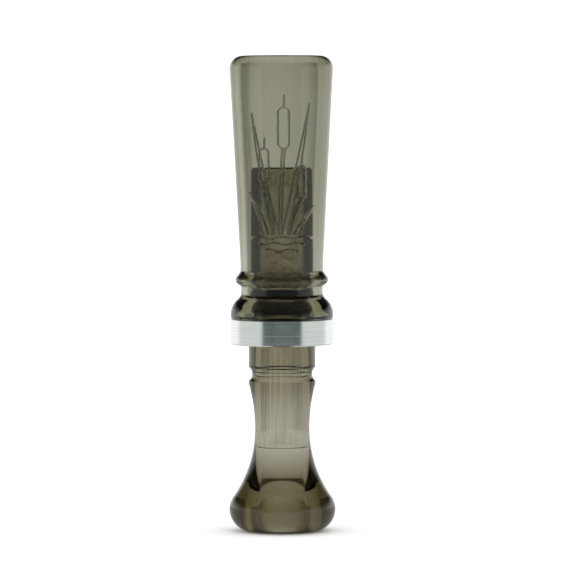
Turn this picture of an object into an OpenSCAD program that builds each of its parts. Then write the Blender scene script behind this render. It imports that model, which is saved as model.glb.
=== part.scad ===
// Duck call: a clear barrel with a metal band, standing on the bell of its insert.
// The axis is +Z, z = 0 is the surface that the bell stands on, and the tone board faces -Y.

/* [Bell] */
// Largest radius of the bell
bell_r = 15.6; // [15.2:0.1:16]
// Radius of the bell's rounded edge, as a section
bulge_r = 6.5; // [6.5:0.1:6.8]
// Height of the middle of that rounded edge
bulge_z = 6.4; // [6:0.1:6.5]
// Radius of the exhaust bore where its flare begins
exhaust_r = 6.3; // [6:0.1:6.6]
// Radius of the exhaust bore at the foot of its flare
exhaust_mouth_r = 8.5; // [8:0.1:8.8]
// Height of the step where the exhaust bore ends
exhaust_h = 24.6; // [22:0.2:26]

/* [Neck and collar] */
// Smallest radius of the neck
neck_r = 8; // [7.8:0.1:8.2]
// Radius of the hollow sweep from the bell up to the neck, as a section
flare_r = 35; // [34:0.5:36]
// Radius of the rib and the collar
collar_r = 9.85; // [9.8:0.05:9.95]
// Height of the middle of the cove between rib and collar
cove_z = 46.4; // [46:0.1:46.8]
// Radius of the cove, as a section
cove_r = 2.55; // [2.4:0.05:2.7]
// Height of the shoulder that the barrel comes down on
shoulder_z = 55.4; // [55:0.1:55.8]

/* [Stopper and tone board] */
// Radius of the stopper
stopper_r = 9.25; // [9.15:0.05:9.3]
// Height of the stopper's top, where the tone board starts
stopper_top = 76.7; // [76:0.1:77]
// Height of the tone board's tip
tip_z = 107.2; // [106.6:0.2:108]
// Radius of the tone board at its tip
tip_r = 9.05; // [8.8:0.05:9.1]
// How far the tone board's face is from the axis, at the reeds' tails
face_y = 1.5; // [1.3:0.1:1.7]
// Lean of the face away from the reeds, in degrees
lay_angle = 1.5; // [1.4:0.1:1.8]
// Radius of the tone channel
channel_r = 4.2; // [3.9:0.1:4.3]

/* [Barrel] */
// Height of the whole call
call_h = 140; // [138:0.5:142]
// Radius of the barrel under its rounded lip
mouth_r = 15.2; // [14.9:0.1:15.5]
// Radius at the foot of the barrel's taper
waist_r = 12.2; // [12.1:0.05:12.3]
// Radius of the rounded lip, as a section
lip_r = 3.8; // [3.5:0.1:4]
// Radius of the upper bead
bead_r = 13.65; // [13.5:0.05:13.8]
// Radius of the lower bead
skirt_r = 15.1; // [14.9:0.1:15.3]
// Radius of the lanyard groove between the beads
groove_r = 12.03; // [11.9:0.05:12.1]
// Radius of the bore that the stopper goes into
socket_r = 9.4; // [9.37:0.01:9.42]
// Radius of the bore at the mouth
mouth_bore_r = 10.8; // [10.6:0.1:11]

/* [Band] */
// Height of the metal band
band_h = 7.7; // [7.3:0.1:8]
// Radius of the barrel's tenon under the band
tenon_r = 12.7; // [12.5:0.1:12.9]

/* [Reeds and wedge] */
// Width of both reeds
reed_w = 12.7; // [12:0.1:12.8]
// Thickness of the long reed
long_reed_t = 0.36; // [0.3:0.02:0.4]
// Thickness of the short reed
short_reed_t = 0.26; // [0.2:0.02:0.3]
// Width of the cork wedge
wedge_w = 8.6; // [8:0.2:11]
// Length of the cork wedge
wedge_l = 10.2; // [9:0.1:12]

/* [O-rings] */
// Thickness of the O-rings' cord
o_ring_t = 2.6; // [2.4:0.05:2.65]
// Height of the lower O-ring
lower_ring_z = 65.2; // [64.5:0.1:65.5]
// Height of the upper O-ring
upper_ring_z = 70; // [69.8:0.1:70.2]

/* [Hidden] */

$fn = 96;
eps = 0.01;          // overshoot of a cutting solid
smooth = 14;         // steps in a long arc of an outline
fine = 8;            // steps in a short arc of an outline

// Heights up the barrel
seat_gap = 0.02;                       // between the collar and the tenon that comes down on it
tenon_z = shoulder_z + seat_gap;
band_z = tenon_z - 0.3;                // the band hangs a little below the tenon
band_top = band_z + band_h;
band_bevel = 0.35;
band_fit = 0.02;                       // radial gap between the band and the tenon
skirt_z = band_top + 1.2;              // widest place of the lower bead
skirt_round = 5.7;                     // radius of the lower bead's shoulder, as a section
skirt_top_r = 12.75;                   // where that shoulder meets the groove's fillet
skirt_sweep = acos((skirt_top_r - skirt_r + skirt_round) / skirt_round);
skirt_edge = 0.2;                      // broken edge of the lower bead, over the band
groove_bottom = skirt_z + 5.6;
groove_fillet = 0.25;
groove_top = groove_bottom + 2.5;
bead_round = 1.45;                     // radius of the upper bead's crest, as a section
bead_lower_lean = 52;                  // lean of the bevel under the crest
bead_upper_lean = 36;                  // lean of the bevel over it
bead_crest_r = bead_r - bead_round;
bead_lower_bevel = (bead_crest_r + bead_round * cos(bead_lower_lean) - groove_r) / tan(bead_lower_lean);
bead_upper_bevel = (bead_crest_r + bead_round * cos(bead_upper_lean) - waist_r) / tan(bead_upper_lean);
bead_z = groove_top + bead_lower_bevel + bead_round * sin(bead_lower_lean);
bead_top = bead_z + bead_round * sin(bead_upper_lean) + bead_upper_bevel;
cylinder_top = groove_top + 7.4;       // short straight stretch above the upper bead
lip_z = call_h - lip_r;
taper_lean = atan((mouth_r - waist_r) / (lip_z - cylinder_top));
mouth_edge = 0.6;                      // radius of the rounded inner edge of the mouth
mouth_depth = 12;                      // the bore has its full radius this far down
tip_room = 0.4;                        // the bore is this much wider beside the tone board's tip
socket_top = tip_z - 9;
socket_edge = 0.1;                     // broken edge at the socket's foot

// Bell: the rounded edge touches the hollow sweep, which is upright at the neck
bulge_x = bell_r - bulge_r;
flare_x = neck_r + flare_r;
touch_angle = acos((flare_x - bulge_x) / (bulge_r + flare_r));
neck_z = bulge_z + (bulge_r + flare_r) * sin(touch_angle);
rib_z = cove_z - 2.8;                  // height of the rib's widest place
sweep_rise = rib_z - neck_z;
sweep_out = collar_r - neck_r;
sweep_r = (sweep_rise * sweep_rise + sweep_out * sweep_out) / (2 * sweep_out);
cove_bottom_r = 8.84;                  // radius of the insert at the deepest place of the cove
cove_x = cove_bottom_r + cove_r;
cove_angle = acos((cove_x - collar_r) / cove_r);
collar_edge = 0.1;

// Stopper and bores
ring_fit = 0.05;                       // radial gap between a ring and what it seals
o_ring_mid_r = socket_r - ring_fit - o_ring_t / 2;
o_groove_r = socket_r - 2 * ring_fit - o_ring_t;
o_groove_w = o_ring_t + 0.4;
tip_bevel = 0.7;
exhaust_round = 0.7;                   // radius of the exhaust bore's rounded mouth
step_r = exhaust_r - 0.45;             // the upper bore starts a little narrower
step_h = 0.15;
upper_bore_r = step_r - 0.9;           // where the upper bore begins to narrow down to the channel

// Reeds and their slot
slot_z = 72.5;                          // floor of the slot, where the reeds' tails are
slot_w = reed_w + 0.4;
slot_roof_y = 5.3;
thin_gap = 0.02;                       // between the face, the reeds and the wedge
end_gap = 0.3;                         // between the slot's floor and the tails
long_reed_y = face_y + thin_gap;
dimple_h = 0.14;                       // the short reed stands off the long one by its dimple
dimple_r = 0.8;
dimple_z = 13;                         // from the short reed's tail
short_reed_y = long_reed_y + long_reed_t + thin_gap + dimple_h;
wedge_y = short_reed_y + short_reed_t + thin_gap;
wedge_step = 0.4;                      // the wedge is this much thinner at its inner end
reed_tail_z = slot_z + end_gap;
long_reed_l = 33.3;
short_reed_l = 30.5;
corner_cut = 2.6;                      // dog-eared corners at the reeds' tips
channel_end = tip_z - 4;

// Points of an arc, from angle a to angle b
function arc(x, z, r, a, b, steps) =
    [for (i = [0:steps]) let (t = a + (b - a) * i / steps) [x + r * cos(t), z + r * sin(t)]];

// Outline of an O-ring groove, walked upwards
function o_groove(z) = [
    [stopper_r, z - o_groove_w / 2], [o_groove_r, z - o_groove_w / 2],
    [o_groove_r, z + o_groove_w / 2], [stopper_r, z + o_groove_w / 2]
];

barrel_outside = concat(
    [[tenon_r, tenon_z], [tenon_r, band_top], [skirt_r - skirt_edge, band_top],
     [skirt_r, band_top + skirt_edge]],
    arc(skirt_r - skirt_round, skirt_z, skirt_round, 0, skirt_sweep, smooth),
    [[groove_r + groove_fillet, groove_bottom - groove_fillet], [groove_r, groove_bottom]],
    [[groove_r, groove_top]],
    arc(bead_crest_r, bead_z, bead_round, -bead_lower_lean, bead_upper_lean, fine),
    [[waist_r, bead_top]],
    [[waist_r, cylinder_top]],
    arc(mouth_r - lip_r, lip_z, lip_r, -taper_lean, 90, smooth)
);

barrel_inside = concat(
    arc(mouth_bore_r + mouth_edge, call_h - mouth_edge, mouth_edge, 90, 180, fine),
    [[mouth_bore_r, call_h - mouth_depth], [socket_r + tip_room, tip_z], [socket_r, socket_top],
     [socket_r, tenon_z + socket_edge], [socket_r + socket_edge, tenon_z]]
);

module barrel() {
    color([0.55, 0.54, 0.46, 0.6])
        rotate_extrude() polygon(concat(barrel_outside, barrel_inside));
}

module band() {
    inner = tenon_r + band_fit;
    color("silver")
        rotate_extrude() polygon([
            [inner, band_z], [skirt_r - band_bevel, band_z], [skirt_r, band_z + band_bevel],
            [skirt_r, band_top - band_bevel], [skirt_r - band_bevel, band_top], [inner, band_top]
        ]);
}

insert_outside = concat(
    arc(bulge_x, bulge_z, bulge_r, -asin(bulge_z / bulge_r), touch_angle, smooth * 2),
    arc(flare_x, neck_z, flare_r, 180 + touch_angle, 180, smooth),
    [for (i = [1:smooth]) let (z = sweep_rise * i / smooth)
        [neck_r + sweep_r - sqrt(sweep_r * sweep_r - z * z), neck_z + z]],
    arc(cove_x, cove_z, cove_r, 180 + cove_angle, 180 - cove_angle, smooth),
    [[collar_r, shoulder_z - collar_edge], [collar_r - collar_edge, shoulder_z], [stopper_r, shoulder_z]],
    o_groove(lower_ring_z),
    o_groove(upper_ring_z),
    [[stopper_r, stopper_top], [tip_r, tip_z - tip_bevel], [tip_r - tip_bevel, tip_z]]
);

// The exhaust bore's rounded mouth and its flare, the step, and the bore that narrows to the tone channel
bore_outline = concat(
    [[0, -eps], [exhaust_mouth_r + exhaust_round, -eps]],
    arc(exhaust_mouth_r + exhaust_round, exhaust_round, exhaust_round, 270, 180, fine),
    [for (i = [1:smooth]) let (t = i / smooth)
        [exhaust_r + (exhaust_mouth_r - exhaust_r) * (1 - t) * (1 - t),
         exhaust_round + (exhaust_h - exhaust_round) * t]],
    [[step_r, exhaust_h + step_h], [upper_bore_r, slot_z - 10], [channel_r, slot_z - 1]],
    arc(0, channel_end - channel_r, channel_r, 0, 90, fine)
);

// The tone board's side is drawn towards +Y and turned round to the front
module turned_to_front() {
    rotate([0, 0, 180]) children();
}

// Space on the reeds' side of the leaning face, from height z upwards and out to front
module in_front_of_face(width, front, z) {
    intersection() {
        translate([0, face_y, slot_z]) rotate([lay_angle, 0, 0])
            translate([-width / 2, 0, -call_h / 2]) cube([width, call_h / 2, call_h]);
        translate([-width / 2, -front, z]) cube([width, 2 * front, tip_z + 1 - z]);
    }
}

module insert() {
    color([0.55, 0.52, 0.44, 0.6])
        turned_to_front() difference() {
            rotate_extrude() polygon(concat([[0, 0]], insert_outside, [[0, tip_z]]));
            rotate_extrude() polygon(bore_outline);
            in_front_of_face(3 * stopper_r, 2 * stopper_r, stopper_top);
            in_front_of_face(slot_w, slot_roof_y, slot_z);
        }
}

module o_ring(z) {
    color([0.05, 0.05, 0.05])
        translate([0, 0, z]) rotate_extrude() translate([o_ring_mid_r, 0]) circle(d = o_ring_t, $fn = 32);
}

module o_ring_lower() { o_ring(lower_ring_z); }
module o_ring_upper() { o_ring(upper_ring_z); }

// A flat reed with dog-eared tip corners, whose face towards the tone board is at y
module reed(length, thickness, y) {
    half = reed_w / 2;
    turned_to_front() translate([0, y + thickness, reed_tail_z])
        rotate([90, 0, 0]) linear_extrude(thickness)
            polygon([
                [-half, 0], [half, 0], [half, length - corner_cut], [half - corner_cut, length],
                [corner_cut - half, length], [-half, length - corner_cut]
            ]);
}

module reed_long() {
    color([0.85, 0.85, 0.82, 0.7]) reed(long_reed_l, long_reed_t, long_reed_y);
}

module reed_short() {
    color([0.85, 0.85, 0.82, 0.7]) {
        reed(short_reed_l, short_reed_t, short_reed_y);
        turned_to_front() translate([0, short_reed_y + short_reed_t / 2, reed_tail_z + dimple_z])
            rotate([90, 0, 0]) cylinder(h = dimple_h + short_reed_t / 2, r = dimple_r, $fn = 24);
    }
}

// Thinner at its inner end, and it stands out of the slot far enough to grip
module cork_wedge() {
    outer_y = slot_roof_y - thin_gap;
    mouth = stopper_top - slot_z - end_gap;
    color("burlywood")
        turned_to_front() translate([-wedge_w / 2, 0, slot_z + end_gap])
            rotate([90, 0, 90]) linear_extrude(wedge_w)
                polygon([
                    [wedge_y, 0], [outer_y - wedge_step, 0], [outer_y, mouth],
                    [outer_y, wedge_l], [wedge_y, wedge_l]
                ]);
}

barrel();
band();
insert();
o_ring_lower();
o_ring_upper();
reed_long();
reed_short();
cork_wedge();
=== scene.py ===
"""Looks of a duck call: a clear smoke barrel and insert, a turned band, rings, reeds and a cork wedge."""

import math

import bpy
import numpy as np
from mathutils import Matrix, Vector


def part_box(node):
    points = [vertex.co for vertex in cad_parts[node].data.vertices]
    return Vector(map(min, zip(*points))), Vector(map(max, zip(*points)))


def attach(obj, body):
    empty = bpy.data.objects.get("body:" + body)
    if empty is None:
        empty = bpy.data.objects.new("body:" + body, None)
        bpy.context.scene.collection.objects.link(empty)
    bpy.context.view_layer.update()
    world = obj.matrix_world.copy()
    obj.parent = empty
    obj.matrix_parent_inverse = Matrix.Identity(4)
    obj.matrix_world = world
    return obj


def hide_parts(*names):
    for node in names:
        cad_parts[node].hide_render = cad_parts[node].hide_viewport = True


MM = 0.001                     # outlines are in millimetres, as pairs of radius and height

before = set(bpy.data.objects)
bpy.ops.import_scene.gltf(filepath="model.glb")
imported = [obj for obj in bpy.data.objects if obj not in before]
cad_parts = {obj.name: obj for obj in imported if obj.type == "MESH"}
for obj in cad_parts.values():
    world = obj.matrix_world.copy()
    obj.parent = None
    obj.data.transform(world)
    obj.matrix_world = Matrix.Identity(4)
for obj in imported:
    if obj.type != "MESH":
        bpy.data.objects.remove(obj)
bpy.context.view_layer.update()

# ---------------------------------------------------------------- sizes, in millimetres

band_low, band_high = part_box("band")
barrel_low, barrel_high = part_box("barrel")
insert_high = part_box("insert")[1]
ring_boxes = {node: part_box(node) for node in ("o_ring_lower", "o_ring_upper")}
o_ring_t = (ring_boxes["o_ring_lower"][1].z - ring_boxes["o_ring_lower"][0].z) / MM

BAND_R = band_high.x / MM
BAND_Z = band_low.z / MM
BAND_TOP = band_high.z / MM
BAND_BEVEL = 0.35
TENON_R = 12.7
TENON_Z = barrel_low.z / MM

CALL_H = barrel_high.z / MM
LIP_R = 3.8
MOUTH_R = 15.2
LIP_Z = CALL_H - LIP_R
MOUTH_BORE_R = 10.8
MOUTH_EDGE = 0.6
MOUTH_DEPTH = 12
SOCKET_R = 9.4
TIP_ROOM = 0.4
SOCKET_EDGE = 0.1
SKIRT_ROUND = 5.7
SKIRT_TOP_R = 12.75
SKIRT_EDGE = 0.2
SKIRT_Z = BAND_TOP + 1.2
GROOVE_R = 12.03
GROOVE_FILLET = 0.25
GROOVE_BOTTOM = SKIRT_Z + 5.6
GROOVE_TOP = GROOVE_BOTTOM + 2.5
BEAD_R = 13.65
BEAD_ROUND = 1.45
BEAD_LOWER_LEAN = 52           # of the bevels under and over the bead's rounded crest, in degrees
BEAD_UPPER_LEAN = 36
WAIST_R = 12.2
TAPER_Z = GROOVE_TOP + 7.4
TAPER_LEAN = math.degrees(math.atan((MOUTH_R - WAIST_R) / (LIP_Z - TAPER_Z)))

TIP_Z = insert_high.z / MM
TIP_R = 9.05
TIP_BEVEL = 0.7
STOPPER_R = 9.25
STOPPER_TOP = 76.7
SHOULDER_Z = TENON_Z - 0.02
COLLAR_R = 9.85
COLLAR_EDGE = 0.1
COVE_Z = 46.4
COVE_R = 2.55
COVE_BOTTOM_R = 8.84
RIB_Z = COVE_Z - 2.8
NECK_R = 8
FLARE_R = 35
BULGE_R = 6.5
BULGE_Z = 6.4
BULGE_X = insert_high.x / MM - BULGE_R
EXHAUST_R = 6.3
EXHAUST_H = 24.6
EXHAUST_ROUND = 0.7
EXHAUST_MOUTH_R = 8.5
STEP_R = EXHAUST_R - 0.45
STEP_H = 0.15
UPPER_BORE_R = STEP_R - 0.9
CHANNEL_R = 4.2
CHANNEL_END = TIP_Z - 4
SLOT_Z = 72.5
SLOT_W = 13.1
SLOT_ROOF_Y = 5.3
FACE_Y = 1.5
LAY_ANGLE = 1.5                # lean of the tone board's face towards its tip, in degrees
O_GROOVE_R = SOCKET_R - 0.1 - o_ring_t
O_GROOVE_W = o_ring_t + 0.4

LONG_STEP = 1.2                # between points on long straight stretches
FINE_STEP = 0.2                # between points where the engraving is

# ---------------------------------------------------------------- meshes


def arc(x, z, r, start, end, steps):
    """Points of an arc, from angle start to angle end, in degrees."""
    angles = [math.radians(start + (end - start) * i / steps) for i in range(steps + 1)]
    return [(x + r * math.cos(a), z + r * math.sin(a)) for a in angles]


def refine(outline, step):
    """The same outline with points no further apart than step."""
    points = []
    for a, b in zip(outline, outline[1:]):
        pieces = max(1, math.ceil(math.dist(a, b) / step))
        points += [tuple(np.add(a, np.subtract(b, a) * i / pieces)) for i in range(pieces)]
    return points + [outline[-1]]


def add_object(name, vertices, faces, sharp=28):
    """A smooth-shaded object from vertices in millimetres, with edges kept sharp above an angle."""
    mesh = bpy.data.meshes.new(name)
    mesh.from_pydata((np.asarray(vertices, float) * MM).tolist(), [], faces)
    mesh.validate()
    mesh.shade_smooth()
    mesh.set_sharp_from_angle(angle=math.radians(sharp))
    made = bpy.data.objects.new(name, mesh)
    bpy.context.scene.collection.objects.link(made)
    return made


def ring_grid(rows, columns, closed_rows):
    """Quads of a grid that closes around its columns, and around its rows if asked."""
    faces = []
    for i in range(rows if closed_rows else rows - 1):
        here = i * columns
        there = (i + 1) % rows * columns
        for j in range(columns):
            k = (j + 1) % columns
            faces.append((here + j, here + k, there + k, there + j))
    return faces


def lathe(name, outline, angles=None, dent=None, sharp=28):
    """A turned solid. The outline is walked with the solid on its left, and dent lowers the surface."""
    angles = np.radians(np.arange(0, 360, 1.5) if angles is None else angles)
    points = np.asarray(outline, float)
    radius, angle = np.meshgrid(points[:, 0], angles, indexing="ij")
    height = np.repeat(points[:, 1:2], len(angles), axis=1)
    depth = np.zeros_like(radius) if dent is None else dent(height, radius, angle)
    radius = radius - depth
    vertices = np.stack([radius * np.sin(angle), -radius * np.cos(angle), height], -1).reshape(-1, 3)
    faces = ring_grid(len(points), len(angles), closed_rows=True)
    made = add_object(name, vertices, faces, sharp)
    made.data.attributes.new("cut_depth", "FLOAT", "POINT").data.foreach_set("value", depth.ravel())
    return made


def solid_of_axis(name, outline, dent=None, step=1.5):
    """A turned solid without a bore: the outline's first and last points lie on the axis."""
    angles = np.radians(np.arange(0, 360, step))
    points = np.asarray(outline[1:-1], float)
    radius, angle = np.meshgrid(points[:, 0], angles, indexing="ij")
    height = np.repeat(points[:, 1:2], len(angles), axis=1)
    if dent is not None:
        radius = radius - dent(height, radius, angle)
    vertices = np.stack([radius * np.sin(angle), -radius * np.cos(angle), height], -1).reshape(-1, 3)
    faces = ring_grid(len(points), len(angles), closed_rows=False)
    columns = len(angles)
    last = len(vertices) - columns
    faces.append(tuple(reversed(range(columns))))
    faces.append(tuple(range(last, last + columns)))
    return add_object(name, vertices, faces)


def prism(name, outline, width):
    """A solid with its outline in Y and Z, as wide as width along X."""
    count = len(outline)
    sides = [(x, y, z) for x in (-width / 2, width / 2) for y, z in outline]
    faces = [tuple(reversed(range(count))), tuple(range(count, 2 * count))]
    faces += [(i, (i + 1) % count, count + (i + 1) % count, count + i) for i in range(count)]
    return add_object(name, sides, faces)


def carve(target, cutters, sharp=28):
    """Takes the cutters away from the target and removes them."""
    for cutter in cutters:
        cut = target.modifiers.new(cutter.name, "BOOLEAN")
        cut.operation = "DIFFERENCE"
        cut.solver = "EXACT"
        cut.object = cutter
    graph = bpy.context.evaluated_depsgraph_get()
    mesh = bpy.data.meshes.new_from_object(target.evaluated_get(graph))
    target.modifiers.clear()
    target.data = mesh
    mesh.materials.clear()
    mesh.shade_smooth()
    mesh.set_sharp_from_angle(angle=math.radians(sharp))
    for cutter in cutters:
        bpy.data.objects.remove(cutter)
    return target


# ---------------------------------------------------------------- engraving

ENGRAVING_LOW = 82
ENGRAVING_HIGH = 130
LINE_HALF_WIDTH = 0.3
LINE_DEPTH = 0.22
LINE_ROUGHNESS = 0.05          # how unevenly the tool has cut the lines


def curve(start, pull, end, steps=16):
    """A quadratic curve from start to end, drawn towards pull."""
    t = np.linspace(0, 1, steps)[:, None]
    start, pull, end = (np.asarray(p, float) for p in (start, pull, end))
    return (1 - t) ** 2 * start + 2 * t * (1 - t) * pull + t ** 2 * end


def blade(base, tip, bend, width):
    """Both edges of a leaf that narrows to its tip; bend moves its middle sideways."""
    middle = (base[0] + tip[0]) / 2 + bend
    height = base[1] + (tip[1] - base[1]) * 0.6
    left = curve((base[0] - width, base[1]), (middle - width, height), tip)
    right = curve((base[0] + width, base[1]), (middle + width, height), tip)
    return [left, right]


def stem(base, neck, half_width):
    """Both edges of a stem that rises from its base and leans over to its neck."""
    middle = (base[1] + neck[1]) / 2
    return [
        curve((base[0] + side, base[1]), (base[0] + side, middle), (neck[0] + side, neck[1]))
        for side in (-half_width, half_width)
    ]


def bulrush(base, neck, half_width, length, spike):
    """A stem, the capsule outline of its head, and the spike above it."""
    straight = length / 2 - half_width
    middle = neck[1] + length / 2
    capsule = np.array(
        arc(neck[0], middle + straight, half_width, 0, 180, 12)
        + arc(neck[0], middle - straight, half_width, 180, 360, 12)
        + [(neck[0] + half_width, middle + straight)]
    )
    top = (neck[0], neck[1] + length)
    return stem(base, neck, 0.4) + [capsule, np.array([top, (top[0] + 0.2, top[1] + spike)])]


def strokes():
    """A stand of bulrushes over ripples, as lines in millimetres around and up the barrel."""
    lines = bulrush((-0.4, 88), (0.6, 113), 1.6, 12, 3.5)
    lines += bulrush((-2.6, 88), (-5.2, 103), 1.4, 10, 3)
    lines += bulrush((2.2, 88), (6.0, 98), 1.4, 10, 3)
    lines += blade((-1.6, 88), (-9.2, 123), -1.4, 0.9)
    lines += blade((1.0, 88), (8.6, 126), 0.9, 0.9)
    lines += blade((-4.6, 88), (-10.2, 100), 0.6, 0.8)
    lines += blade((4.4, 88), (10.4, 96), -0.6, 0.8)
    for i, half in enumerate((9.2, 7.0, 4.6)):
        around = np.linspace(-half, half, 41)
        lines.append(np.stack([around, 87 - 1.8 * i + 0.3 * np.cos(around + 2 * i)], -1))
    return lines


def engraved(z, radius, angle):
    """Depth of the engraving at a place on the outside of the barrel."""
    around = radius * np.where(angle > math.pi, angle - 2 * math.pi, angle)
    outside = (radius > SOCKET_R + 2) & (np.abs(around) < 12) & (z > ENGRAVING_LOW) & (z < ENGRAVING_HIGH)
    places = np.stack([around[outside], z[outside]], -1)
    nearest = np.full(len(places), 9.0)
    for line in strokes():
        for a, b in zip(line, line[1:]):
            along = b - a
            t = np.clip((places - a) @ along / (along @ along), 0, 1)
            nearest = np.minimum(nearest, np.hypot(*(places - a - t[:, None] * along).T))
    depth = np.zeros_like(radius)
    uneven = np.random.default_rng(5).normal(0, LINE_ROUGHNESS, len(places))
    cut = np.clip(1 - (nearest / LINE_HALF_WIDTH) ** 2, 0, 1)
    depth[outside] = LINE_DEPTH * cut + np.abs(uneven) * (cut > 0)
    return depth


# ---------------------------------------------------------------- materials


def new_material(name):
    """A material with its Principled shader and its node tree."""
    material = bpy.data.materials.new(name)
    material.use_nodes = True
    tree = material.node_tree
    return material, tree, tree.nodes["Principled BSDF"]


def noise(tree, scale, detail=4, coordinate="Object", stretch=(1, 1, 1)):
    """A noise texture in object space, stretched along an axis."""
    place = tree.nodes.new("ShaderNodeTexCoord")
    mapping = tree.nodes.new("ShaderNodeMapping")
    mapping.inputs["Scale"].default_value = stretch
    texture = tree.nodes.new("ShaderNodeTexNoise")
    texture.inputs["Scale"].default_value = scale
    texture.inputs["Detail"].default_value = detail
    tree.links.new(place.outputs[coordinate], mapping.inputs["Vector"])
    tree.links.new(mapping.outputs["Vector"], texture.inputs["Vector"])
    return texture


def bump(tree, shader, height, strength, distance):
    """Bump on a shader from a height output."""
    node = tree.nodes.new("ShaderNodeBump")
    node.inputs["Strength"].default_value = strength
    node.inputs["Distance"].default_value = distance
    tree.links.new(height, node.inputs["Height"])
    tree.links.new(node.outputs["Normal"], shader.inputs["Normal"])


def ramp(tree, factor, stops):
    """A colour ramp with stops of (position, colour)."""
    node = tree.nodes.new("ShaderNodeValToRGB")
    for position, colour in stops[2:]:
        node.color_ramp.elements.new(position)
    for element, (position, colour) in zip(node.color_ramp.elements, sorted(stops)):
        element.position = position
        element.color = (*colour, 1)
    tree.links.new(factor, node.inputs["Fac"])
    return node.outputs["Color"]


def calculate(tree, operation, *values, clamp=False):
    """The output of a math node whose inputs are outputs of other nodes, or numbers."""
    node = tree.nodes.new("ShaderNodeMath")
    node.operation = operation
    node.use_clamp = clamp
    for socket, value in zip(node.inputs, values):
        if isinstance(value, (int, float)):
            socket.default_value = value
        else:
            tree.links.new(value, socket)
    return node.outputs[0]


def mix_colours(tree, factor, first, second):
    """A mix of two colours, each an output or a plain colour."""
    node = tree.nodes.new("ShaderNodeMix")
    node.data_type = "RGBA"
    tree.links.new(factor, node.inputs["Factor"])
    for socket, value in ((node.inputs[6], first), (node.inputs[7], second)):
        if isinstance(value, tuple):
            socket.default_value = (*value, 1)
        else:
            tree.links.new(value, socket)
    return node.outputs[2]


def inside_bore(tree):
    """One on the wall of the insert's upper bore, and zero elsewhere."""
    place = tree.nodes.new("ShaderNodeTexCoord")
    parts = tree.nodes.new("ShaderNodeSeparateXYZ")
    tree.links.new(place.outputs["Object"], parts.inputs["Vector"])
    x_square = calculate(tree, "MULTIPLY", parts.outputs["X"], parts.outputs["X"])
    square = calculate(tree, "MULTIPLY_ADD", parts.outputs["Y"], parts.outputs["Y"], x_square)
    near = calculate(tree, "LESS_THAN", square, (EXHAUST_R * MM) ** 2)
    over = calculate(tree, "GREATER_THAN", parts.outputs["Z"], EXHAUST_H * MM)
    under = calculate(tree, "LESS_THAN", parts.outputs["Z"], (SLOT_Z - 1) * MM)
    return calculate(tree, "MULTIPLY", calculate(tree, "MULTIPLY", near, over), under)


def smoke_plastic(name, keep, density, engraving=False, reamed=False):
    """Clear plastic that absorbs light on its way through; keep is the colour that survives. The lines of
    the engraving and the fine lines along a reamed bore get painted shade: a darker base colour that
    stands in for the light they scatter away."""
    material, tree, shader = new_material(name)
    shader.inputs["Base Color"].default_value = (1, 1, 1, 1)
    shader.inputs["Roughness"].default_value = 0.0
    shader.inputs["IOR"].default_value = 1.49
    shader.inputs["Transmission Weight"].default_value = 1
    if engraving:
        # Painted shade: the engraved lines get a darker base colour, deeper where the cut is deeper.
        cut = tree.nodes.new("ShaderNodeAttribute")
        cut.attribute_name = "cut_depth"
        groove_painted_shade = ramp(tree, cut.outputs["Fac"], [(0.02, (1, 1, 1)), (0.12, (0.32, 0.32, 0.3))])
        tree.links.new(groove_painted_shade, shader.inputs["Base Color"])
    if reamed:
        # Painted shade: streaks of noise along the upper bore darken its base colour.
        lines = noise(tree, 1300, 4, stretch=(1, 1, 0.03))
        streak_painted_shade = ramp(tree, lines.outputs["Fac"], [(0.38, (0.76, 0.76, 0.64)), (0.52, (1, 1, 0.97))])
        tree.links.new(mix_colours(tree, inside_bore(tree), (1, 1, 1), streak_painted_shade), shader.inputs["Base Color"])
    volume = tree.nodes.new("ShaderNodeVolumeAbsorption")
    volume.inputs["Color"].default_value = (*keep, 1)
    volume.inputs["Density"].default_value = density
    tree.links.new(volume.outputs["Volume"], tree.nodes["Material Output"].inputs["Volume"])
    return material


def turned_aluminium():
    """Bright turned aluminium: fine lines around the band and a few deeper scratches."""
    material, tree, shader = new_material("turned_aluminium")
    shader.inputs["Metallic"].default_value = 1
    shader.inputs["Anisotropic"].default_value = 0.4
    lines = noise(tree, 900, 2, stretch=(0.02, 0.02, 6))
    colour = ramp(tree, lines.outputs["Fac"], [(0.3, (0.80, 0.82, 0.81)), (0.7, (0.92, 0.93, 0.92))])
    tree.links.new(colour, shader.inputs["Base Color"])
    wear = noise(tree, 220, 3)
    rough = tree.nodes.new("ShaderNodeMapRange")
    rough.inputs["To Min"].default_value = 0.1
    rough.inputs["To Max"].default_value = 0.22
    tree.links.new(wear.outputs["Fac"], rough.inputs["Value"])
    tree.links.new(rough.outputs["Result"], shader.inputs["Roughness"])
    bump(tree, shader, lines.outputs["Fac"], 0.25, 0.00002)
    return material


def seat_painted_shade():
    """Near-black painted shade on the faces of the band that are glued to the barrel, so the lower barrel
    shows black where it looks down onto them.
    """
    material, tree, shader = new_material("seat_painted_shade")
    patches = noise(tree, 500, 4)
    colour = ramp(tree, patches.outputs["Fac"], [(0.3, (0.004,) * 3), (0.8, (0.012, 0.012, 0.011))])
    tree.links.new(colour, shader.inputs["Base Color"])
    shader.inputs["Roughness"].default_value = 0.6
    return material


def ring_rubber():
    """Satin black rubber with a slight bloom."""
    material, tree, shader = new_material("ring_rubber")
    bloom = noise(tree, 900, 5)
    colour = ramp(tree, bloom.outputs["Fac"], [(0.3, (0.002, 0.002, 0.002)), (0.75, (0.01, 0.01, 0.01))])
    tree.links.new(colour, shader.inputs["Base Color"])
    shader.inputs["Roughness"].default_value = 0.5
    shader.inputs["Specular IOR Level"].default_value = 0.15
    bump(tree, shader, bloom.outputs["Fac"], 0.2, 0.00003)
    return material


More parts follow.
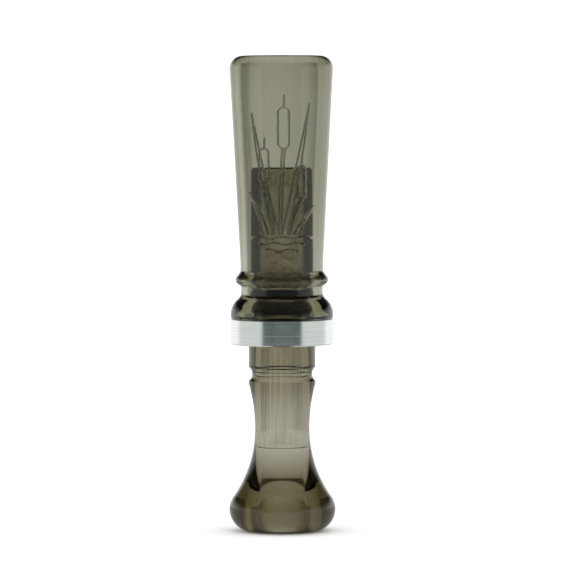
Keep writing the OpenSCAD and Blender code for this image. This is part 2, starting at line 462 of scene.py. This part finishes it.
def reed_film():
    """Clear polyester film with fine scuffs along its length."""
    material, tree, shader = new_material("reed_film")
    scuffs = noise(tree, 700, 5, stretch=(1, 1, 0.15))
    haze = ramp(tree, scuffs.outputs["Fac"], [(0.4, (0.22, 0.22, 0.22)), (0.7, (0.4, 0.4, 0.4))])
    tree.links.new(haze, shader.inputs["Roughness"])
    shader.inputs["Base Color"].default_value = (0.95, 0.95, 0.92, 1)
    shader.inputs["IOR"].default_value = 1.6
    shader.inputs["Transmission Weight"].default_value = 1
    bump(tree, shader, scuffs.outputs["Fac"], 0.1, 0.00001)
    return material


def natural_cork():
    """Cork: pale body, darker pores and grains of several sizes."""
    material, tree, shader = new_material("natural_cork")
    place = tree.nodes.new("ShaderNodeTexCoord")
    grains = tree.nodes.new("ShaderNodeTexVoronoi")
    grains.inputs["Scale"].default_value = 900
    tree.links.new(place.outputs["Object"], grains.inputs["Vector"])
    shade = noise(tree, 600, 6)
    body = ramp(tree, shade.outputs["Fac"], [(0.3, (0.25, 0.21, 0.15)), (0.65, (0.43, 0.37, 0.28))])
    pores = ramp(tree, grains.outputs["Distance"], [(0.05, (0.45, 0.4, 0.35)), (0.3, (1, 1, 1))])
    mix = tree.nodes.new("ShaderNodeMix")
    mix.data_type = "RGBA"
    mix.blend_type = "MULTIPLY"
    mix.inputs["Factor"].default_value = 1
    tree.links.new(body, mix.inputs[6])
    tree.links.new(pores, mix.inputs[7])
    tree.links.new(mix.outputs[2], shader.inputs["Base Color"])
    shader.inputs["Roughness"].default_value = 0.85
    bump(tree, shader, grains.outputs["Distance"], 0.6, 0.0001)
    return material


# ---------------------------------------------------------------- pieces


def bead():
    """The upper bead: a rounded crest between two bevels that start at the groove and at the waist."""
    crest_r = BEAD_R - BEAD_ROUND
    lower, upper = math.radians(BEAD_LOWER_LEAN), math.radians(BEAD_UPPER_LEAN)
    lower_bevel = (crest_r + BEAD_ROUND * math.cos(lower) - GROOVE_R) / math.tan(lower)
    upper_bevel = (crest_r + BEAD_ROUND * math.cos(upper) - WAIST_R) / math.tan(upper)
    z = GROOVE_TOP + lower_bevel + BEAD_ROUND * math.sin(lower)
    top = z + BEAD_ROUND * math.sin(upper) + upper_bevel
    crest = arc(crest_r, z, BEAD_ROUND, -BEAD_LOWER_LEAN, BEAD_UPPER_LEAN, 20)
    return [(GROOVE_R, GROOVE_TOP)] + crest + [(WAIST_R, top)]


def barrel_outline():
    """Outside from the tenon up to the mouth, then the bore down to the socket's foot."""
    section_end = (SKIRT_TOP_R - BAND_R + SKIRT_ROUND) / SKIRT_ROUND
    sweep = math.degrees(math.acos(section_end))
    outside = (
        [(TENON_R, TENON_Z), (TENON_R, BAND_TOP), (BAND_R - SKIRT_EDGE, BAND_TOP),
         (BAND_R, BAND_TOP + SKIRT_EDGE)]
        + arc(BAND_R - SKIRT_ROUND, SKIRT_Z, SKIRT_ROUND, 0, sweep, 28)
        + [(GROOVE_R + GROOVE_FILLET, GROOVE_BOTTOM - GROOVE_FILLET), (GROOVE_R, GROOVE_BOTTOM)]
        + bead()
        + [(WAIST_R, TAPER_Z)]
        + arc(MOUTH_R - LIP_R, LIP_Z, LIP_R, -TAPER_LEAN, 90, 28)
    )
    inside = (
        arc(MOUTH_BORE_R + MOUTH_EDGE, CALL_H - MOUTH_EDGE, MOUTH_EDGE, 90, 180, 10)
        + [(MOUTH_BORE_R, CALL_H - MOUTH_DEPTH), (SOCKET_R + TIP_ROOM, TIP_Z), (SOCKET_R, TIP_Z - 9),
           (SOCKET_R, TENON_Z + SOCKET_EDGE), (SOCKET_R + SOCKET_EDGE, TENON_Z)]
    )
    outside = refine(outside, LONG_STEP)
    low = [p for p in outside if p[1] < ENGRAVING_LOW]
    middle = [p for p in outside if ENGRAVING_LOW <= p[1] <= ENGRAVING_HIGH]
    high = [p for p in outside if p[1] > ENGRAVING_HIGH]
    return low + refine(middle, FINE_STEP) + high + refine(inside, LONG_STEP)


def make_barrel():
    """The barrel, with more columns on the engraved front than behind."""
    front = np.arange(-42, 42, 0.6)
    back = np.arange(42, 318, 3.6)
    angles = np.concatenate([front, back]) % 360
    return lathe("barrel_clear", barrel_outline(), angles, engraved, sharp=35)


def insert_outline():
    """Outside of the insert from the standing ring up to the tip, with both ends on the axis."""
    flare_x = NECK_R + FLARE_R
    touch = math.degrees(math.acos((flare_x - BULGE_X) / (BULGE_R + FLARE_R)))
    neck_z = BULGE_Z + (BULGE_R + FLARE_R) * math.sin(math.radians(touch))
    rise = RIB_Z - neck_z
    out = COLLAR_R - NECK_R
    sweep_r = (rise * rise + out * out) / (2 * out)
    sweep_angle = math.degrees(math.asin(rise / sweep_r))
    cove_x = COVE_BOTTOM_R + COVE_R
    cove_angle = math.degrees(math.acos((cove_x - COLLAR_R) / COVE_R))
    foot = math.degrees(math.asin(BULGE_Z / BULGE_R))
    outline = [(0, 0)]
    outline += refine([(1, 0), (BULGE_X + BULGE_R * math.cos(math.radians(foot)), 0)], 1)[:-1]
    outline += arc(BULGE_X, BULGE_Z, BULGE_R, -foot, touch, 60)
    outline += arc(flare_x, neck_z, FLARE_R, 180 + touch, 180, 40)[1:]
    outline += arc(NECK_R + sweep_r, neck_z, sweep_r, 180, 180 - sweep_angle, 20)[1:]
    outline += arc(cove_x, COVE_Z, COVE_R, 180 + cove_angle, 180 - cove_angle, 28)
    outline += refine([(COLLAR_R, SHOULDER_Z - COLLAR_EDGE), (COLLAR_R - COLLAR_EDGE, SHOULDER_Z),
                       (STOPPER_R, SHOULDER_Z)], 1)
    for low, high in ring_boxes.values():
        z = (low.z + high.z) / 2 / MM
        outline += [(STOPPER_R, z - O_GROOVE_W / 2), (O_GROOVE_R, z - O_GROOVE_W / 2),
                    (O_GROOVE_R, z + O_GROOVE_W / 2), (STOPPER_R, z + O_GROOVE_W / 2)]
    outline += refine([(STOPPER_R, STOPPER_TOP), (TIP_R, TIP_Z - TIP_BEVEL),
                       (TIP_R - TIP_BEVEL, TIP_Z)], LONG_STEP)
    return outline + [(0, TIP_Z)]


FLARE_STEPS = 25


def bore_outline():
    """Exhaust bore that flares to its rounded mouth, the step, the narrowing bore and the tone channel."""
    flare = []
    for i in range(1, FLARE_STEPS):
        up = i / FLARE_STEPS
        radius = EXHAUST_R + (EXHAUST_MOUTH_R - EXHAUST_R) * (1 - up) ** 2
        flare.append((radius, EXHAUST_ROUND + (EXHAUST_H - EXHAUST_ROUND) * up))
    return (
        [(0, -1), (EXHAUST_MOUTH_R + EXHAUST_ROUND, -1)]
        + arc(EXHAUST_MOUTH_R + EXHAUST_ROUND, EXHAUST_ROUND, EXHAUST_ROUND, 270, 180, 12)
        + flare
        + refine([(EXHAUST_R, EXHAUST_H), (STEP_R, EXHAUST_H + STEP_H), (UPPER_BORE_R, SLOT_Z - 10),
                  (CHANNEL_R, SLOT_Z - 1), (CHANNEL_R, CHANNEL_END - CHANNEL_R)], LONG_STEP)
        + arc(0, CHANNEL_END - CHANNEL_R, CHANNEL_R, 0, 90, 16)[1:]
    )


TOOL_LINE_DEPTH = 0.04         # how far the fine lines of the upper bore vary its radius


def tool_lines(z, radius, angle):
    """Depth of the fine lines that a reamer leaves along the upper bore."""
    waves = sum(np.sin(count * angle + 1.7 * count * count) for count in (23, 41, 67, 103)) / 4
    fade = np.clip((z - EXHAUST_H - 0.5) / 4, 0, 1) * np.clip((SLOT_Z - 2 - z) / 10, 0, 1)
    return TOOL_LINE_DEPTH * waves * fade


def in_front_of_face(name, width, front, z):
    """Space on the reeds' side of the leaning face of the tone board, from height z upwards."""
    top = TIP_Z + 1

    def face(height):
        return FACE_Y - (height - SLOT_Z) * math.tan(math.radians(LAY_ANGLE))

    return prism(name, [(-face(top), top), (-front, top), (-front, z), (-face(z), z)], width)


def make_insert():
    """The turned insert with its bore, board and slot cut."""
    body = solid_of_axis("insert_clear", insert_outline())
    return carve(body, [
        solid_of_axis("bore_cut", bore_outline(), tool_lines, step=0.75),
        in_front_of_face("board_cut", 3 * STOPPER_R, 2 * STOPPER_R, STOPPER_TOP),
        in_front_of_face("slot_cut", SLOT_W, SLOT_ROOF_Y, SLOT_Z),
    ])


def make_band():
    """The band, with the shallow grooves that a lathe tool leaves."""
    pitch = 0.2
    depth = 0.0025
    inner = TENON_R + 0.02
    steps = int((BAND_TOP - BAND_Z - 2 * BAND_BEVEL) / pitch * 4)
    wall = []
    for i in range(steps + 1):
        z = BAND_Z + BAND_BEVEL + (BAND_TOP - BAND_Z - 2 * BAND_BEVEL) * i / steps
        wall.append((BAND_R - depth * (1 - math.cos(math.pi * i / 2)) / 2, z))
    outline = (
        [(inner, BAND_Z), (BAND_R - BAND_BEVEL, BAND_Z)]
        + wall
        + [(BAND_R - BAND_BEVEL, BAND_TOP), (inner, BAND_TOP)]
    )
    band = lathe("band_turned", outline)
    # Faces inside the band and under the barrel take the second material, the near-black painted shade.
    for face in band.data.polygons:
        centre = face.center / MM
        inside = math.hypot(centre.x, centre.y) < TENON_R + 0.5
        under_barrel = centre.z > BAND_TOP - 0.01 and math.hypot(centre.x, centre.y) < BAND_R - BAND_BEVEL
        face.material_index = int(inside or under_barrel)
    return band


FLASH = 0.03                   # height of the flash line


def make_ring(node):
    """An O-ring with the fine flash line of its mould, outside and inside."""
    low, high = ring_boxes[node]
    z = (low.z + high.z) / 2 / MM
    r = (high.z - low.z) / 2 / MM
    x = high.x / MM - r
    section = []
    for turn in range(0, 360, 6):
        ridge = FLASH if turn % 180 == 0 else 0
        section += arc(x, z, r + ridge, turn, turn, 1)[:1]
    return lathe(node + "_moulded", section)


CORNER_CUT = 2.6               # dog-eared corners at the reeds' tips
DIMPLE_H = 0.14
DIMPLE_R = 0.8
DIMPLE_Z = 13                  # from the short reed's tail


def make_reed(node, dimple):
    """A reed of film with dog-eared corners, and the dimple that is pressed into the short one."""
    low, high = (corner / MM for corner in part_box(node))
    height, across = np.meshgrid(np.linspace(low.z, high.z, 141), np.linspace(-1, 1, 51), indexing="ij")
    half = np.minimum(high.x, high.x - (height - (high.z - CORNER_CUT)))
    x = half * across
    lift = dimple * np.clip(1 - (x ** 2 + (height - low.z - DIMPLE_Z) ** 2) / DIMPLE_R ** 2, 0, 1)
    rows, columns = x.shape
    front = np.stack([x, low.y + lift, height], -1).reshape(-1, 3)
    back = np.stack([x, high.y - dimple + lift, height], -1).reshape(-1, 3)
    faces = []
    for i in range(rows - 1):
        for j in range(columns - 1):
            a = i * columns + j
            quad = (a, a + 1, a + columns + 1, a + columns)
            faces.append(quad)
            faces.append(tuple(rows * columns + k for k in reversed(quad)))
    tail = range(columns)
    right = range(columns - 1, rows * columns, columns)
    tip = range(rows * columns - 1, (rows - 1) * columns - 1, -1)
    left = range((rows - 1) * columns, -1, -columns)
    for edge in (tail, right, tip, left):
        for a, b in zip(edge, edge[1:]):
            faces.append((b, a, rows * columns + a, rows * columns + b))
    return add_object(node + "_film", np.concatenate([front, back]), faces)


WEDGE_STEP = 0.4               # the wedge is this much thinner at its inner end
WEDGE_WEAR = 0.25              # width of the worn edges
WEDGE_VOXEL = 0.14
PORES = 260
PORE_R = (0.15, 0.45)          # smallest and largest pore
PORE_DEPTH = 0.4               # of a pore, over its radius


def make_wedge():
    """The cork wedge, with worn edges and open pores."""
    low, high = (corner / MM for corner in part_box("cork_wedge"))
    outline = [(high.y, high.z), (low.y, high.z), (low.y, STOPPER_TOP), (low.y + WEDGE_STEP, low.z),
               (high.y, low.z)]
    wedge = prism("cork_wedge_cut", outline, high.x - low.x)
    edges = wedge.modifiers.new("edges", "BEVEL")
    edges.width = WEDGE_WEAR * MM
    edges.segments = 3
    grid = wedge.modifiers.new("grid", "REMESH")
    grid.mode = "VOXEL"
    grid.voxel_size = WEDGE_VOXEL * MM
    graph = bpy.context.evaluated_depsgraph_get()
    mesh = bpy.data.meshes.new_from_object(wedge.evaluated_get(graph))
    wedge.modifiers.clear()
    wedge.data = mesh
    places = np.array([v.co for v in mesh.vertices])
    normals = np.array([v.normal for v in mesh.vertices])
    chance = np.random.default_rng(11)
    depth = np.zeros(len(places))
    for centre in chance.choice(len(places), PORES, replace=False):
        size = chance.uniform(*PORE_R) * MM
        apart = np.linalg.norm(places - places[centre], axis=1)
        depth = np.maximum(depth, PORE_DEPTH * size * np.clip(1 - (apart / size) ** 2, 0, 1))
    for vertex, place in zip(mesh.vertices, places - normals * depth[:, None]):
        vertex.co = place
    mesh.shade_smooth()
    return wedge


def finish_piece(piece, materials, body, node):
    """Gives a piece its materials, and lets it stand for its CAD node."""
    for material in materials:
        piece.data.materials.append(material)
    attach(piece, body)
    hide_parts(node)


smoke_barrel = smoke_plastic("smoke_barrel", (0.66, 0.652, 0.51), 250, engraving=True)
smoke_insert = smoke_plastic("smoke_insert", (0.674, 0.645, 0.5), 288, reamed=True)
rubber = ring_rubber()
film = reed_film()

finish_piece(make_barrel(), [smoke_barrel], "barrel_body", "barrel")
finish_piece(make_insert(), [smoke_insert], "insert_body", "insert")
# The band's seat faces carry the near-black painted shade.
finish_piece(make_band(), [turned_aluminium(), seat_painted_shade()], "barrel_body", "band")
for ring in ("o_ring_lower", "o_ring_upper"):
    finish_piece(make_ring(ring), [rubber], "seals", ring)
finish_piece(make_reed("reed_long", 0), [film], "long_reed", "reed_long")
finish_piece(make_reed("reed_short", DIMPLE_H), [film], "short_reed", "reed_short")
finish_piece(make_wedge(), [natural_cork()], "insert_body", "cork_wedge")

# ---------------------------------------------------------------- studio

DARK = (0.03, 0.03, 0.03)      # overhead
FRONT = (0.05, 0.08, 0.078)    # these three are what mirror reflections see around the call
SIDES = (0.6, 0.64, 0.61)
BACK = (0.92, 0.93, 0.92)
BACKDROP = (0.5, 0.5, 0.5)     # what plastic lets through, all around
SCREEN_MIDDLE = (0.56, 0.56, 0.56)
SCREEN_LEFT = (0.52, 0.52, 0.52)
SCREEN_RIGHT = (0.46, 0.46, 0.46)
BESIDE_SCREEN = (0.23, 0.23, 0.23)
BEHIND_CAMERA = (0.28, 0.28, 0.28)
LEFT_LIGHT = (0.76, 0.76, 0.77)
RIGHT_LIGHT = (0.56, 0.56, 0.58)
PAPER = (0.93, 0.93, 0.93)
PAPER_THROUGH = (0.5, 0.5, 0.5)
FLOOR_RADIUS = 0.5
MIRROR_TOP = (0.1, 0.3)        # sines of the angles between which mirrored walls turn dark
WALL_TOP = (0.45, 0.6)         # sines of the angles between which the wall turns into the dark above
TOP_LIGHT = (0.8, 0.9)         # the same for the dark above and the soft light overhead
PAPER_LIGHT = 1.15


def make_floor():
    """A round table of white paper, which the plastic shows as grey as the backdrop."""
    mesh = bpy.data.meshes.new("floor")
    radius = FLOOR_RADIUS
    corners = 96
    rim = [math.tau * i / corners for i in range(corners)]
    outline = [(radius * math.cos(a), radius * math.sin(a), 0) for a in rim]
    mesh.from_pydata(outline, [], [tuple(range(corners))])
    floor = bpy.data.objects.new("floor", mesh)
    bpy.context.scene.collection.objects.link(floor)
    floor.location.z = -0.05 * MM
    material, tree, shader = new_material("floor_paper")
    seen = tree.nodes.new("ShaderNodeLightPath").outputs["Is Camera Ray"]
    tree.links.new(mix_colours(tree, seen, PAPER_THROUGH, PAPER), shader.inputs["Base Color"])
    shader.inputs["Roughness"].default_value = 0.9
    shader.inputs["Specular IOR Level"].default_value = 0
    mesh.materials.append(material)


def make_world():
    """A white studio with a dark ceiling and a soft light in it. Light that comes straight through the
    plastic is from a pale screen with a darker gap on each side, and light that has bounced inside it is
    from two lights. Mirror reflections see a dark front, grey sides and a pale back."""
    world = bpy.data.worlds.new("studio")
    bpy.context.scene.world = world
    world.use_nodes = True
    world.cycles.sampling_method = "NONE"
    tree = world.node_tree
    place = tree.nodes.new("ShaderNodeTexCoord")
    parts = tree.nodes.new("ShaderNodeSeparateXYZ")
    tree.links.new(place.outputs["Generated"], parts.inputs["Vector"])
    path = tree.nodes.new("ShaderNodeLightPath")

    behind = calculate(tree, "ARCTAN2", parts.outputs["X"], parts.outputs["Y"])
    turn = calculate(tree, "MULTIPLY_ADD", behind, 0.5 / math.pi, 0.5)
    lights = ramp(tree, turn, [
        (0.36, BEHIND_CAMERA), (0.41, LEFT_LIGHT), (0.47, LEFT_LIGHT), (0.485, BACKDROP),
        (0.515, BACKDROP), (0.53, RIGHT_LIGHT), (0.66, RIGHT_LIGHT), (0.7, BEHIND_CAMERA),
    ])
    screen = ramp(tree, turn, [
        (0.3, BACKDROP), (0.34, BESIDE_SCREEN), (0.41, BESIDE_SCREEN), (0.45, SCREEN_LEFT),
        (0.49, SCREEN_MIDDLE), (0.54, SCREEN_RIGHT), (0.59, BESIDE_SCREEN), (0.66, BESIDE_SCREEN),
        (0.7, BACKDROP),
    ])
    bounced = calculate(tree, "GREATER_THAN", path.outputs["Glossy Depth"], 0.5)
    through = mix_colours(tree, bounced, screen, lights)
    off_back = calculate(tree, "DIVIDE", calculate(tree, "ABSOLUTE", behind), math.pi)
    mirrored = ramp(tree, off_back, [
        (0.34, BACK), (0.4, SIDES), (0.74, SIDES), (0.76, FRONT),
    ])
    wall = ramp(tree, parts.outputs["Z"], [(MIRROR_TOP[0], (0, 0, 0)), (MIRROR_TOP[1], (1, 1, 1))])
    mirrored = mix_colours(tree, wall, mirrored, DARK)
    reflection = calculate(tree, "LESS_THAN", path.outputs["Transmission Depth"], 0.5)
    room = mix_colours(tree, reflection, through, mirrored)
    height = calculate(tree, "MULTIPLY_ADD", parts.outputs["Z"], 0.5, 0.5)
    edges = (*WALL_TOP, *TOP_LIGHT)
    beyond = ramp(tree, height, [(0.5 + 0.5 * e, (v, v, v)) for e, v in zip(edges, (0, 1, 1, 0))])
    room = mix_colours(tree, beyond, room, DARK)
    diffused = calculate(tree, "GREATER_THAN", path.outputs["Diffuse Depth"], 0.5)
    plain = calculate(tree, "ADD", path.outputs["Is Camera Ray"], diffused, clamp=True)
    background = tree.nodes["Background"]
    tree.links.new(mix_colours(tree, plain, room, (PAPER_LIGHT,) * 3), background.inputs["Color"])
    background.inputs["Strength"].default_value = 1.1


def make_camera():
    """A long lens a little above the call, leaned by the small tilt of the view."""
    distance = 1.5
    elevation = math.radians(3)
    tilt = math.radians(-0.15)
    field = 0.16944
    data = bpy.data.cameras.new("camera")
    data.sensor_width = 36
    data.lens = 36 * distance / field
    data.clip_start = 0.05
    camera = bpy.data.objects.new("camera", data)
    bpy.context.scene.collection.objects.link(camera)
    centre = Vector((0.0018, 0, 0.0716))
    camera.location = centre + Vector((0, -math.cos(elevation), math.sin(elevation))) * distance
    turn = Matrix.Rotation(math.pi / 2 - elevation, 3, "X") @ Matrix.Rotation(tilt, 3, "Z")
    camera.rotation_euler = turn.to_euler()
    bpy.context.scene.camera = camera


make_floor()
make_world()
make_camera()
scene = bpy.context.scene
scene.view_settings.view_transform = "Standard"
scene.cycles.max_bounces = 32
scene.cycles.transmission_bounces = 32
scene.cycles.glossy_bounces = 16
scene.cycles.sample_clamp_indirect = 10
